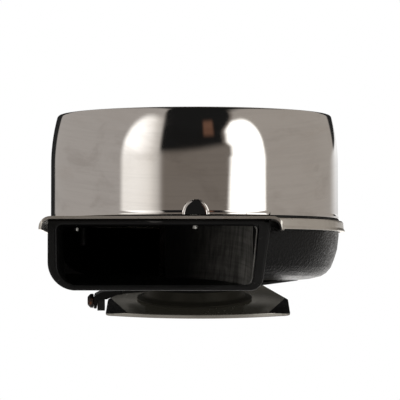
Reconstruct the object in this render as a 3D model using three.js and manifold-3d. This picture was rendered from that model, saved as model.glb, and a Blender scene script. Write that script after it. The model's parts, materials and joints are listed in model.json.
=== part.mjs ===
// Air filter housing for a small engine: a chromed cover over a round base plate, a black
// moulded lower housing with a flat intake snorkel, a paper element inside, and a polished
// mounting plate under the outlet. Millimetres, +Z up, mouth towards -Y. The mounting plate
// lies flat on z = 0 and the housing leans back over it.
import * as THREE from "three";
import { mergeVertices } from "three/addons/utils/BufferGeometryUtils.js";
import Module from "manifold-3d";

const wasm = await Module();
wasm.setup();

// ---- driving dimensions -------------------------------------------------------------------

const TILT = THREE.MathUtils.degToRad(10); // how far the housing leans back over its plate
const FLANGE_HEIGHT = 50.5; // top of the base plate on the axis, above the table
const GAP = 0.3; // clearance between touching pieces

const COVER = { radius: 90, shoulder: 86.3, foot: 1.9, waist: 35.6, height: 68.2, wall: 1.2 };
const CROWN = { shoulder_height: 64.4, mid_radius: 60, fall: 0.5 }; // the crown's low dome
const HEM = { flare: 0.4, height: 2.4 }; // turned-out lower edge of the cover
const RECESS = { radius: 17, floor: 60, hole: 3.6 }; // dish for the nut in the cover's crown
const DIMPLE = { x: 0.5, y: -88, width: 7.2, reach: 5.4, height: 8.6 }; // bump over the front screw

const PLATE = { radius: 94, thickness: 1.6, skirt: 6.7 }; // base plate
// Ledge over the mouth, with its two ends curled down and its front left open.
const TONGUE = {
  left: -92,
  right: 53.5,
  front: -108.5,
  corner: 3,
  left_curl: 7,
  right_curl: 7.6,
  curl_wall: 1.7,
  bottom: -7.9,
};
const SLOT = { inner: 72, outer: 84.5, count: 6, web: 14 }; // air slots round the element, web in degrees

const BOWL = { radius: 90.4, top: -2.1, wall: 3, floor: -37 };
const MOUTH = { left: -87, right: 46, front: -105, bottom: -44, back: -4, ceiling: -5.2 };
const DUCT = { left: -81.4, right: 37.3, bottom: -40.7, left_radius: 12, right_radius: 5 };
// Curved wall that turns the air past the outlet.
const GUIDE = { x: -18, y: -88, radius: 53, thickness: 2.4 };
const PAD = { radius: 33, height: 15.6 }; // outlet pad under the bowl, height above the table
const KEEL = 17.5; // height above the table where the bowl's low rear is cut flat
const BOSS = { rim: 4.6, outlet: 4.2 };

const OUTLET = { bore: 20, wall: 2, centre_y: -6.5 };
const ELEMENT = { outer: 70, inner: 45, pleats: 44, pleat_depth: 5, bottom: 0.3, top: 65.6, seal: 5 };
const STUD = { radius: 2.8, bottom: -20, top: 65.8 };
const BRIDGE = { top: -10, thickness: 3, width: 9 };

const MOUNT = {
  half_width: 56.5,
  centre_x: 2.2,
  front: -64,
  bow: 9,
  rear: 51,
  straight_to: -8,
  taper: 14.5,
  thickness: 2.5,
};
const CREASE = { inset: 15, back: 4, drop: 1.5 }; // front corners pressed down along a slanting crease
const NECK = { top: 11.3, foot_radius: 36, radius: 31 };
const STAY = { bottom: 11.6, top: 13.4, ring: 31, y: -40, half_width: 5, tab_x: -60, axis_z: 7 };

const ROUND = 60; // facets of the large round pieces

// ---- looks ---------------------------------------------------------------------------------

const looks = {
  chrome: { color: 0xb9b6b2, roughness: 0.07, metalness: 1 },
  satin_steel: { color: 0xa39d94, roughness: 0.32, metalness: 1 },
  polished_plate: { color: 0x6f6a63, roughness: 0.12, metalness: 1 },
  black_plastic: { color: 0x0c0c0c, roughness: 0.55, metalness: 0 },
  black_rubber: { color: 0x111111, roughness: 0.8, metalness: 0 },
  filter_paper: { color: 0xd8c58e, roughness: 0.9, metalness: 0 },
  zinc: { color: 0x9a9a94, roughness: 0.4, metalness: 1 },
  black_steel: { color: 0x141312, roughness: 0.5, metalness: 0.4 },
  rusty_steel: { color: 0x5d3520, roughness: 0.85, metalness: 0.3 },
};

// ---- shape helpers ---------------------------------------------------------------------------

// A closed three.js geometry as a manifold solid.
function solid(geometry) {
  const bare = geometry.clone();
  bare.deleteAttribute("normal");
  bare.deleteAttribute("uv");
  const merged = mergeVertices(bare, 1e-4);
  const index = merged.index.array;
  const kept = [];
  for (let i = 0; i < index.length; i += 3) {
    const [a, b, c] = [index[i], index[i + 1], index[i + 2]];
    if (a !== b && b !== c && c !== a) kept.push(a, b, c);
  }
  const mesh = new wasm.Mesh({
    numProp: 3,
    vertProperties: new Float32Array(merged.attributes.position.array),
    triVerts: new Uint32Array(kept),
  });
  return new wasm.Manifold(mesh);
}

function geometryOf(manifold) {
  const mesh = manifold.getMesh();
  const geometry = new THREE.BufferGeometry();
  geometry.setAttribute("position", new THREE.BufferAttribute(new Float32Array(mesh.vertProperties), 3));
  geometry.setIndex(new THREE.BufferAttribute(new Uint32Array(mesh.triVerts), 1));
  geometry.computeVertexNormals();
  return geometry;
}

// Revolves a profile of [radius, z] points, listed anticlockwise, about Z.
function lathe(profile, facets = ROUND) {
  const points = profile.map(([r, z]) => new THREE.Vector2(r, z));
  const geometry = new THREE.LatheGeometry(points, facets);
  geometry.rotateX(Math.PI / 2);
  return solid(geometry);
}

// A ring of rectangular section.
function ring(inner, outer, bottom, top, facets = ROUND) {
  return lathe([[inner, bottom], [outer, bottom], [outer, top], [inner, top], [inner, bottom]], facets);
}

// An upright cylinder.
function post(radius, bottom, top, x = 0, y = 0, facets = 24) {
  const geometry = new THREE.CylinderGeometry(radius, radius, top - bottom, facets);
  geometry.rotateX(Math.PI / 2);
  geometry.translate(x, y, (top + bottom) / 2);
  return solid(geometry);
}

function box(x0, x1, y0, y1, z0, z1) {
  const geometry = new THREE.BoxGeometry(x1 - x0, y1 - y0, z1 - z0);
  geometry.translate((x0 + x1) / 2, (y0 + y1) / 2, (z0 + z1) / 2);
  return solid(geometry);
}

// Extrudes a flat outline upwards from one height to another.
function prism(shape, bottom, top, curveSegments = 6) {
  const options = { depth: top - bottom, bevelEnabled: false, curveSegments };
  const geometry = new THREE.ExtrudeGeometry(shape, options);
  geometry.translate(0, 0, bottom);
  return solid(geometry);
}

// Extrudes an outline drawn in X and Z along Y.
function prismAlongY(shape, y0, y1, curveSegments = 6) {
  const options = { depth: y1 - y0, bevelEnabled: false, curveSegments };
  const geometry = new THREE.ExtrudeGeometry(shape, options);
  geometry.rotateX(Math.PI / 2);
  geometry.translate(0, y1, 0);
  return solid(geometry);
}

// Extrudes an outline drawn in Y and Z along X.
function prismAlongX(shape, x0, x1, curveSegments = 6) {
  const options = { depth: x1 - x0, bevelEnabled: false, curveSegments };
  const geometry = new THREE.ExtrudeGeometry(shape, options);
  geometry.rotateY(Math.PI / 2);
  geometry.rotateX(Math.PI / 2);
  geometry.translate(x0, 0, 0);
  return solid(geometry);
}

// A polygon whose corners are rounded, each corner being [x, y, radius], listed anticlockwise.
function roundedOutline(corners) {
  const shape = new THREE.Shape();
  const count = corners.length;
  corners.forEach(([x, y, radius], i) => {
    const corner = new THREE.Vector2(x, y);
    const before = new THREE.Vector2(...corners[(i + count - 1) % count].slice(0, 2));
    const after = new THREE.Vector2(...corners[(i + 1) % count].slice(0, 2));
    const back = before.sub(corner).normalize();
    const on = after.sub(corner).normalize();
    const half = Math.acos(THREE.MathUtils.clamp(back.dot(on), -1, 1)) / 2;
    const run = radius / Math.tan(half);
    const start = corner.clone().addScaledVector(back, run);
    const end = corner.clone().addScaledVector(on, run);
    if (i === 0) shape.moveTo(start.x, start.y);
    else shape.lineTo(start.x, start.y);
    if (radius > 0) shape.quadraticCurveTo(corner.x, corner.y, end.x, end.y);
  });
  shape.closePath();
  return shape;
}

// A place on a circle, the angle in degrees from +X.
function polar(radius, degrees) {
  const angle = THREE.MathUtils.degToRad(degrees);
  return [radius * Math.cos(angle), radius * Math.sin(angle)];
}

// Points of an arc, the angles in degrees.
function arc(cx, cz, radius, from, to, steps) {
  return Array.from({ length: steps + 1 }, (_, i) => {
    const [x, z] = polar(radius, from + ((to - from) * i) / steps);
    return [cx + x, cz + z];
  });
}

const group = new THREE.Group();
const housing = new THREE.Group(); // everything that leans with the cover
housing.rotation.x = -TILT;
housing.position.z = FLANGE_HEIGHT;
group.add(housing);

function add(parent, name, shape, look) {
  const mesh = new THREE.Mesh(geometryOf(shape), new THREE.MeshStandardMaterial(looks[look]));
  mesh.name = name;
  parent.add(mesh);
}

// A solid drawn upright over the table, in the leaning frame of the housing.
function leaned(shape) {
  const matrix = new THREE.Matrix4().makeRotationX(-TILT).setPosition(0, 0, FLANGE_HEIGHT).invert();
  return shape.transform(matrix.elements);
}

// ---- where the screws stand --------------------------------------------------------------------

const RIM_SCREWS = 6;
const RIM_SCREW_RADIUS = 83.5;
const FRONT_SCREW = 4; // the one under the dimple, at 270 degrees
const rimScrews = Array.from({ length: RIM_SCREWS }, (_, i) => {
  const degrees = 30 + (360 / RIM_SCREWS) * i;
  return i === FRONT_SCREW ? [DIMPLE.x, DIMPLE.y] : polar(RIM_SCREW_RADIUS, degrees);
});
const MOUTH_SCREWS = [3, FRONT_SCREW]; // short bosses, so that their tips show in the duct
const SCREW = { radius: 1.7, head: 3.2, head_height: 2.4, long: -12, short: -7 };

const OUTLET_BOLTS = 4;
const BOLT = { circle: 27.7, radius: 1.9, head: 3.4, head_height: 2.6, seat: 23, bottom: 0.9 };
const outletBolts = Array.from({ length: OUTLET_BOLTS }, (_, i) => {
  const [x, y] = polar(BOLT.circle, 45 + (360 / OUTLET_BOLTS) * i);
  return [x, y + OUTLET.centre_y];
});

// ---- cover ---------------------------------------------------------------------------------------

function coverProfile() {
  const { radius, shoulder, foot, waist, height, wall } = COVER;
  const side = (t) => radius - (radius - shoulder) * t * t;
  const steps = 4; // even, since the inside takes every other point
  const outside = [];
  for (let i = 0; i <= steps; i += 1) {
    const t = i / steps;
    outside.push([side(t), waist + (CROWN.shoulder_height - waist) * t]);
  }
  return [
    [radius - wall, foot],
    [radius + HEM.flare, foot],
    [radius + HEM.flare, foot + HEM.height / 2],
    [radius, foot + HEM.height],
    ...outside,
    [shoulder - 0.7, CROWN.shoulder_height + 1.3],
    [shoulder - 2.3, CROWN.shoulder_height + 2.1],
    [CROWN.mid_radius, height - CROWN.fall],
    [RECESS.radius + 4, height],
    [RECESS.radius + 1, height - 0.6],
    [RECESS.radius, height - 2],
    [RECESS.radius - 1, RECESS.floor],
    [RECESS.hole, RECESS.floor],
    [RECESS.hole, RECESS.floor - wall],
    [RECESS.radius + 0.2, RECESS.floor - wall],
    [RECESS.radius + 1.6, height - 2.6],
    [RECESS.radius + 4, height - wall],
    [CROWN.mid_radius, height - CROWN.fall - wall],
    [shoulder - 2.9, CROWN.shoulder_height + 2 - wall],
    [shoulder - 1.9, CROWN.shoulder_height + 0.6],
    ...outside.filter((_, i) => i % 2 === 0).reverse().map(([r, z]) => [r - wall, z - 0.5]),
    [radius - wall, foot],
  ];
}

// A half-dome pressed outwards from the cover's lower edge.
function bump(extra) {
  const geometry = new THREE.SphereGeometry(1, 20, 12);
  geometry.rotateX(Math.PI / 2);
  geometry.scale(DIMPLE.width + extra, DIMPLE.reach + extra, DIMPLE.height + extra);
  geometry.translate(DIMPLE.x, DIMPLE.y, COVER.foot);
  return solid(geometry);
}

function cover() {
  const keep = box(-20, 20, -110, -70, COVER.foot, 30);
  const shell = lathe(coverProfile());
  return shell.add(bump(0).intersect(keep)).subtract(bump(-COVER.wall));
}

add(housing, "cover", cover(), "chrome");

function coverGasket() {
  const band = ring(87.4, 90.6, GAP, COVER.foot - GAP);
  const eyelet = post(7, GAP, COVER.foot - GAP, DIMPLE.x, DIMPLE.y + 0.6, 24);
  return band.add(eyelet).subtract(post(SCREW.head + 0.4, -1, 4, DIMPLE.x, DIMPLE.y));
}

add(housing, "cover_gasket", coverGasket(), "black_rubber");

// Stack of washers and the domed nut in the cover's recess.
const nutSeat = RECESS.floor + GAP;
const SEAL_WASHER = { radius: 9.5, thickness: 1.4 };
const WASHER = { radius: 8.5, thickness: 1.1 };
const NUT = { across: 5.8, dome: 5, skirt: 2.4, height: 4.9 };
const washerSeat = nutSeat + SEAL_WASHER.thickness + GAP;
const nutFoot = washerSeat + WASHER.thickness + GAP;

function washer(sizes, seat) {
  return ring(RECESS.hole, sizes.radius, seat, seat + sizes.thickness, 32);
}

add(housing, "nut_seal_washer", washer(SEAL_WASHER, nutSeat), "black_rubber");
add(housing, "nut_washer", washer(WASHER, washerSeat), "zinc");

function coverNut() {
  const spring = nutFoot + NUT.skirt;
  const rise = NUT.height - NUT.skirt;
  const hexagon = post(NUT.across, nutFoot, spring + 0.4, 0, 0, 6);
  const crown = arc(0, 0, 1, 0, 90, 4).map(([r, z]) => [r * NUT.dome, spring + z * rise]);
  const dome = lathe([[0, nutFoot], [NUT.dome, nutFoot], ...crown], 24);
  const thread = post(STUD.radius + GAP, nutFoot - 1, STUD.top + GAP, 0, 0, 16);
  return hexagon.add(dome).subtract(thread);
}

add(housing, "cover_nut", coverNut(), "zinc");

// ---- base plate ------------------------------------------------------------------------------------

function tongueSection(inset, top) {
  const { left, right, bottom, left_curl, right_curl } = TONGUE;
  return roundedOutline([
    [left + inset, bottom - inset, 0],
    [right - inset, bottom - inset, 0],
    [right - inset, top, right_curl - inset],
    [left + inset, top, left_curl - inset],
  ]);
}

// The ledge over the mouth, before it is hollowed.
function tongue() {
  const { left, right, front, corner, bottom } = TONGUE;
  const plan = roundedOutline([
    [left, front, corner],
    [right, front, corner],
    [right, -20, 0],
    [left, -8, 0],
  ]);
  const bar = prismAlongY(tongueSection(0, 0), front - 5, 0, 6);
  return prism(plan, bottom - 1, 1).intersect(bar);
}

function basePlate() {
  const { radius, thickness, skirt } = PLATE;
  const disc = lathe([
    [0, -skirt],
    [radius + 0.3, -skirt],
    [radius + 0.3, -skirt + 0.6],
    [radius - 0.4, -skirt + 1.8],
    [radius - 0.8, -1.4],
    [radius - 1.4, -0.5],
    [radius - 2.6, 0],
    [0, 0],
  ]);
  const hollow = post(radius - 2.4, -skirt - 3, -thickness, 0, 0, ROUND);
  const under = prismAlongY(tongueSection(TONGUE.curl_wall, -thickness), TONGUE.front - 5, 0, 6);
  let plate = disc.add(tongue()).subtract(hollow).subtract(under);
  plate = plate.subtract(post(OUTLET.bore + OUTLET.wall + GAP, -5, 5, 0, 0, 40));
  for (let i = 0; i < SLOT.count; i += 1) {
    plate = plate.subtract(airSlot((360 / SLOT.count) * i));
  }
  for (const [x, y] of rimScrews) {
    plate = plate.subtract(post(SCREW.radius + GAP, -5, 5, x, y, 12));
  }
  return plate;
}

// One curved slot through the base plate, centred on an angle in degrees.
function airSlot(centre) {
  const half = 180 / SLOT.count - SLOT.web / 2;
  const outer = arc(0, 0, SLOT.outer, centre - half, centre + half, 8);
  const inner = arc(0, 0, SLOT.inner, centre + half, centre - half, 8);
  const shape = new THREE.Shape([...outer, ...inner].map(([x, y]) => new THREE.Vector2(x, y)));
  return prism(shape, -5, 5);
}

add(housing, "base_plate", basePlate(), "satin_steel");

// ---- lower housing -----------------------------------------------------------------------------------

function bowl(inset) {
  const { radius, top, floor } = BOWL;
  const r = (value) => value - inset;
  const z = (value) => value + inset;
  const lid = inset > 0 ? top + 1 : top;
  return lathe([
    [0, z(floor)],
    [r(66), z(floor)],
    [r(73), z(floor + 0.9)],
    [r(79), z(floor + 2.6)],
    [r(82.5), z(floor + 4.8)],
    [r(85.4), z(floor + 8.2)],
    [r(87.6), z(floor + 13.6)],
    [r(radius - 1), z(floor + 19.5)],
    [r(radius), z(floor + 28)],
    [r(radius), lid],
    [0, lid],
  ]);
}

// The snorkel is the space common to its front outline and its side outline.
function snorkel() {
  const { left, right, front, bottom, back } = MOUTH;
  const face = roundedOutline([
    [left, BOWL.top, 0],
    [left, bottom, 17],
    [right - 6, bottom, 8],
    [right, BOWL.top, 0],
  ]);
  const side = roundedOutline([
    [front, BOWL.top, 0],
    [front, bottom, 0],
    [front + 40, bottom + 0.5, 30],
    [back - 14, BOWL.floor + 1, 0],
    [back, BOWL.floor + 8, 0],
    [back, BOWL.top, 0],
  ]);
  const bow = 420; // radius of the slightly bowed front
  const bowed = post(bow, -60, 10, (left + right) / 2, front + bow, 360);
  const body = prismAlongY(face, front - 5, back, 8);
  return body.intersect(prismAlongX(side, left - 5, right + 5)).intersect(bowed);
}

function duct() {
  const { left, right, bottom, left_radius, right_radius } = DUCT;
  const face = roundedOutline([
    [left, MOUTH.ceiling, 3],
    [left + 0.6, bottom, left_radius],
    [right - 3.5, bottom, right_radius],
    [right, MOUTH.ceiling, 3],
  ]);
  const floor = roundedOutline([
    [MOUTH.front - 3, MOUTH.ceiling, 0],
    [MOUTH.front - 3, bottom, 0],
    [MOUTH.front + 40, bottom + 0.3, 20],
    [MOUTH.back - 14, BOWL.floor + 4, 0],
    [MOUTH.back - 14, MOUTH.ceiling, 0],
  ]);
  const space = prismAlongY(face, MOUTH.front - 3, MOUTH.back - 14, 6);
  return space.intersect(prismAlongX(floor, left - 5, right + 5));
}

// Quarter-round wall that leads the air from the right of the mouth to the left of the outlet.
function guideWall() {
  const { x, y, radius, thickness } = GUIDE;
  const inner = arc(x, y, radius, 0, 90, 14);
  const outer = arc(x, y, radius + thickness, 90, 0, 14);
  const shape = new THREE.Shape([...inner, ...outer].map(([u, v]) => new THREE.Vector2(u, v)));
  return prism(shape, MOUTH.bottom, BOWL.top);
}

function lowerHousing() {
  const aboveKeel = leaned(box(-130, 130, -140, 140, KEEL, 120));
  const aboveFloor = leaned(box(-130, 130, -140, 140, KEEL + BOWL.wall, 120));
  const pad = leaned(post(PAD.radius, PAD.height, 30, 0, OUTLET.centre_y, 40));
  const outside = bowl(0).add(snorkel()).intersect(aboveKeel);
  let body = outside.add(pad);
  body = body.subtract(bowl(BOWL.wall).intersect(aboveFloor)).subtract(duct());
  body = body.add(guideWall().intersect(outside));
  for (const [i, [x, y]] of rimScrews.entries()) {
    const depth = MOUTH_SCREWS.includes(i) ? MOUTH.ceiling : SCREW.long - 2;
    const boss = post(BOSS.rim, depth, BOWL.top, x, y, 20);
    body = body.add(boss.intersect(post(BOWL.radius - 0.5, -60, 0, 0, 0, ROUND)));
  }
  for (const [x, y] of outletBolts) {
    body = body.add(leaned(post(BOSS.outlet, PAD.height, BOLT.seat, x, y, 20)));
  }
  body = body.subtract(post(OUTLET.bore + OUTLET.wall + GAP, -60, 0, 0, 0, 40));
  for (const [x, y] of rimScrews) {
    body = body.subtract(post(SCREW.radius + GAP, SCREW.long - 1, 5, x, y, 12));
  }
  for (const [x, y] of outletBolts) {
    body = body.subtract(leaned(post(BOLT.radius + GAP, 0, 40, x, y, 12)));
  }
  return body;
}

add(housing, "lower_housing", lowerHousing(), "black_plastic");

// Pan-head screws that hold the lower housing to the base plate.
function rimScrew(x, y, tip) {
  const top = GAP + SCREW.head_height;
  const head = lathe([
    [0, GAP],
    [SCREW.head, GAP],
    [SCREW.head, GAP + 1.2],
    [2, top],
    [0, top],
  ], 16);
  return head.translate([x, y, 0]).add(post(SCREW.radius, tip, GAP + 0.5, x, y, 12));
}

rimScrews.forEach(([x, y], i) => {
  const tip = MOUTH_SCREWS.includes(i) ? SCREW.short : SCREW.long;
  add(housing, `rim_screw_${i + 1}`, rimScrew(x, y, tip), "zinc");
});

// ---- outlet ------------------------------------------------------------------------------------------

function outletTube() {
  const { bore, wall } = OUTLET;
  const tube = lathe([
    [bore, -50],
    [bore + wall, -50],
    [bore + wall, GAP],
    [bore + 8, GAP],
    [bore + 8, GAP + 1.5],
    [bore + 2, GAP + 1.5],
    [bore, GAP - 0.5],
    [bore, -50],
  ], 40);
  return tube.intersect(leaned(box(-60, 60, -60, 60, PAD.height + GAP, 90)));
}

add(housing, "outlet_tube", outletTube(), "zinc");

const studHole = post(STUD.radius + GAP, -30, 0, 0, 0, 16);

function studBridge() {
  const { top, thickness, width } = BRIDGE;
  const bar = box(-30, 30, -width / 2, width / 2, top - thickness, top);
  return bar.intersect(post(OUTLET.bore - GAP, -30, 0, 0, 0, 40)).subtract(studHole);
}

add(housing, "stud_bridge", studBridge(), "zinc");
add(housing, "centre_stud", post(STUD.radius, STUD.bottom, STUD.top, 0, 0, 16), "zinc");

const lockNutTop = BRIDGE.top - BRIDGE.thickness - GAP;
const LOCK_NUT = { across: 5.6, height: 4.5 };
const lockNut = post(LOCK_NUT.across, lockNutTop - LOCK_NUT.height, lockNutTop, 0, 0, 6);
add(housing, "stud_lock_nut", lockNut.subtract(studHole), "zinc");

// ---- filter element -------------------------------------------------------------------------------

function pleatedPaper() {
  const { outer, inner, pleats, pleat_depth, bottom, top, seal } = ELEMENT;
  const zigzag = (radius, depth) => Array.from({ length: pleats * 2 }, (_, i) => {
    return new THREE.Vector2(...polar(i % 2 ? radius - depth : radius, (180 / pleats) * i));
  });
  const shape = new THREE.Shape(zigzag(outer - 1.5, pleat_depth));
  shape.holes.push(new THREE.Path(zigzag(inner + pleat_depth + 1, pleat_depth)));
  return prism(shape, bottom + seal + GAP, top - seal - GAP);
}

add(housing, "element_paper", pleatedPaper(), "filter_paper");

function elementSeal(bottom) {
  const { outer, inner, seal } = ELEMENT;
  const top = bottom + seal;
  return lathe([
    [inner - 2.5, bottom],
    [outer - 1, bottom],
    [outer, bottom + 1],
    [outer, top - 1],
    [outer - 1, top],
    [inner - 2.5, top],
    [inner - 2.5, bottom],
  ], 48);
}

add(housing, "element_bottom_seal", elementSeal(ELEMENT.bottom), "black_rubber");
add(housing, "element_top_seal", elementSeal(ELEMENT.top - ELEMENT.seal), "black_rubber");

// Perforated tube inside the paper.
function elementCore() {
  const { inner, bottom, top, seal } = ELEMENT;
  const low = bottom + seal + GAP;
  const high = top - seal - GAP;
  let core = ring(inner - 1.3, inner - GAP, low, high, 40);
  const columns = 10;
  const rows = 3;
  for (let column = 0; column < columns; column += 1) {
    for (let row = 0; row < rows; row += 1) {
      const geometry = new THREE.CylinderGeometry(6, 6, 12, 6);
      geometry.rotateZ(Math.PI / 2);
      geometry.translate(inner, 0, 0);
      geometry.rotateZ((2 * Math.PI * column) / columns);
      geometry.translate(0, 0, low + ((high - low) * (row + 0.5)) / rows);
      core = core.subtract(solid(geometry));
    }
  }
  return core;
}

add(housing, "element_core", elementCore(), "zinc");

// ---- mounting plate, neck and stay ------------------------------------------------------------------

function mountOutline() {
  const { half_width, centre_x, front, bow, rear, straight_to, taper } = MOUNT;
  const left = centre_x - half_width;
  const right = centre_x + half_width;
  const shape = new THREE.Shape();
  shape.moveTo(left + 5, front + bow);
  shape.quadraticCurveTo(centre_x, front - bow, right - 5, front + bow);
  shape.quadraticCurveTo(right, front + bow, right, front + bow + 6);
  shape.lineTo(right, straight_to);
  shape.lineTo(right - taper, rear - 6);
  shape.quadraticCurveTo(right - taper - 1, rear, right - taper - 7, rear);
  shape.lineTo(left + taper + 7, rear);
  shape.quadraticCurveTo(left + taper + 1, rear, left + taper, rear - 6);
  shape.lineTo(left, straight_to);
  shape.lineTo(left, front + bow + 6);
  shape.quadraticCurveTo(left, front + bow, left + 5, front + bow);
  return shape;
}

// What is pressed away above a front corner: a wedge that deepens outwards from its crease.
function cornerWedge(side) {
  const { half_width, centre_x, front, thickness } = MOUNT;
  const { inset, back, drop } = CREASE;
  const edge = new THREE.Vector2(side * half_width, back);
  const start = new THREE.Vector2(side * (half_width - inset), front);
  const along = start.clone().sub(edge);
  const width = (inset * along.y) / along.length() * -1;
  const wedge = new THREE.Shape();
  wedge.moveTo(0, thickness);
  wedge.lineTo(2 * width, thickness - 2 * drop);
  wedge.lineTo(2 * width, thickness + 2);
  wedge.lineTo(0, thickness + 2);
  wedge.closePath();
  const bar = prismAlongY(wedge, -60, 60);
  const slant = -THREE.MathUtils.radToDeg(Math.atan2(inset, back - front));
  const placed = bar.rotate([0, 0, slant]).translate([half_width, back, 0]);
  const turned = side > 0 ? placed : placed.mirror([1, 0, 0]);
  return turned.translate([centre_x, 0, 0]);
}

function mountingPlate() {
  let plate = prism(mountOutline(), 0, MOUNT.thickness, 10);
  plate = plate.subtract(cornerWedge(-1)).subtract(cornerWedge(1));
  plate = plate.subtract(post(OUTLET.bore, -1, 5, 0, OUTLET.centre_y, 40));
  for (const [x, y] of outletBolts) {
    plate = plate.subtract(post(BOLT.radius + GAP, -1, 5, x, y, 12));
  }
  return plate;
}

add(group, "mounting_plate", mountingPlate(), "polished_plate");

function neck() {
  const foot = MOUNT.thickness + GAP;
  const { top, foot_radius, radius } = NECK;
  let body = lathe([
    [OUTLET.bore, foot],
    [foot_radius, foot],
    [foot_radius, foot + 1],
    [radius + 1.4, foot + 1.8],
    [radius, foot + 4],
    [radius, top],
    [OUTLET.bore, top],
    [OUTLET.bore, foot],
  ], 48).translate([0, OUTLET.centre_y, 0]);
  for (const [x, y] of outletBolts) {
    body = body.subtract(post(BOLT.radius + GAP, -1, 30, x, y, 12));
  }
  return body;
}

add(group, "outlet_neck", neck(), "black_steel");

// Ring clamped under the outlet with an arm that carries the rubber buffer.
function stayBracket() {
  const { bottom, top, ring: reach, y, half_width, tab_x, axis_z } = STAY;
  const clamp = post(reach, bottom, top, 0, OUTLET.centre_y, 40);
  const arm = prism(roundedOutline([
    [-48, y - half_width, 0],
    [-18, y + 14, 0],
    [-20, y + 40, 0],
    [-48, y + half_width, 0],
  ]), bottom, top);
  const rise = 0.6;
  const thickness = top - bottom;
  const bend = roundedOutline([
    [-47, bottom, 0],
    [-47, top, 0],
    [-49, top, 0],
    [tab_x - thickness, top + rise, 1],
    [tab_x - thickness, axis_z - 4, 0],
    [tab_x, axis_z - 4, 0],
    [tab_x, bottom + rise, 0],
    [-49, bottom, 0],
  ]);
  let bracket = clamp.add(arm).add(prismAlongY(bend, y - half_width, y + half_width));
  bracket = bracket.subtract(post(OUTLET.bore, 0, 30, 0, OUTLET.centre_y, 40));
  bracket = bracket.subtract(crossPost(2.3, tab_x - 5, tab_x + 2, 16));
  for (const [x, bolt_y] of outletBolts) {
    bracket = bracket.subtract(post(BOLT.radius + GAP, 0, 30, x, bolt_y, 12));
  }
  return bracket;
}

// A cylinder along X on the stay bolt's axis.
function crossPost(radius, x0, x1, facets) {
  const geometry = new THREE.CylinderGeometry(radius, radius, x1 - x0, facets);
  geometry.rotateZ(Math.PI / 2);
  geometry.translate((x0 + x1) / 2, STAY.y, STAY.axis_z);
  return solid(geometry);
}

add(group, "stay_bracket", stayBracket(), "black_steel");

const tabOuter = STAY.tab_x - (STAY.top - STAY.bottom);
const bushEnd = MOUNT.centre_x - MOUNT.half_width - 0.9;
const STAY_BOLT = { head: 4.4, head_width: 4, radius: 2, hole: 2.3, bush: 3.1 };
const boltHead = crossPost(STAY_BOLT.head, tabOuter - STAY_BOLT.head_width, tabOuter - GAP, 20);
const boltShank = crossPost(STAY_BOLT.radius, tabOuter - 1, bushEnd - 2, 16);
add(group, "stay_bolt", boltHead.add(boltShank), "rusty_steel");

const bush = crossPost(STAY_BOLT.bush, STAY.tab_x + GAP, bushEnd, 24);
const bushHole = crossPost(STAY_BOLT.hole, STAY.tab_x - 1, bushEnd - 1.7, 16);
add(group, "stay_bush", bush.subtract(bushHole), "black_rubber");

function outletGasket() {
  const outline = roundedOutline([
    [-30, -34, 6],
    [28, -34, 6],
    [43, -21.5, 2],
    [65, -4, 3],
    [67, 24, 6],
    [40, 34, 8],
    [-40, 34, 8],
    [-60, 24, 6],
    [-58, -4, 3],
  ]);
  let gasket = prism(outline, STAY.top + GAP, PAD.height - GAP, 4);
  gasket = gasket.subtract(post(OUTLET.bore + 0.5, 0, 30, 0, OUTLET.centre_y, 40));
  for (const [x, y] of outletBolts) {
    gasket = gasket.subtract(post(BOLT.radius + GAP, 0, 30, x, y, 12));
  }
  return gasket;
}

add(group, "outlet_gasket", outletGasket(), "black_rubber");

outletBolts.forEach(([x, y], i) => {
  const under = BOLT.seat + GAP;
  const head = post(BOLT.head, under, under + BOLT.head_height, x, y, 6);
  const shank = post(BOLT.radius, BOLT.bottom, BOLT.seat + 1, x, y, 12);
  add(group, `outlet_bolt_${i + 1}`, head.add(shank), "zinc");
});

// The origin is on the table under the middle of the object.
const bounds = new THREE.Box3().setFromObject(group, true);
const middle = bounds.getCenter(new THREE.Vector3());
group.position.set(-middle.x, -middle.y, 0);

export default group;
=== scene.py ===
import json
import math

import bmesh
import bpy
from mathutils import Matrix, Vector


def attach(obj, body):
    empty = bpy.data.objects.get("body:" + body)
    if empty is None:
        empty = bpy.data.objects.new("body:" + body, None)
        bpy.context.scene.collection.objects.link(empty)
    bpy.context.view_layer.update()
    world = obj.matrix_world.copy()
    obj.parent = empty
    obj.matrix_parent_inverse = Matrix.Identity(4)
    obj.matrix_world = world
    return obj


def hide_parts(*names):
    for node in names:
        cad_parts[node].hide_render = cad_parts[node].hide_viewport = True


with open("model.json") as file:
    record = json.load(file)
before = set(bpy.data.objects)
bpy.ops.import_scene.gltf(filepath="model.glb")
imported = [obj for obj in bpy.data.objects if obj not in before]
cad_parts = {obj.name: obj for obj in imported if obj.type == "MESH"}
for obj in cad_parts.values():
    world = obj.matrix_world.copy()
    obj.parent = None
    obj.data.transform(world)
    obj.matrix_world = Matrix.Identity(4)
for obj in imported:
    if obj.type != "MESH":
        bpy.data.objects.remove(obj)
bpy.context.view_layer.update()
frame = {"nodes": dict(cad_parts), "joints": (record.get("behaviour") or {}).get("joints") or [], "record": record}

# Air filter housing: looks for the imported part. Lengths are in millimetres until a mesh is
# made, and the housing's own frame has its origin on the axis, on the base plate's top face.

MM = 0.001

# ---- driving dimensions -------------------------------------------------------------------------
# They are the part's, but for the cover's foot, shoulder, hem and dimple and for the stay's tab, bolt
# head and bush, which are drawn nearer to the photo.

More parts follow.
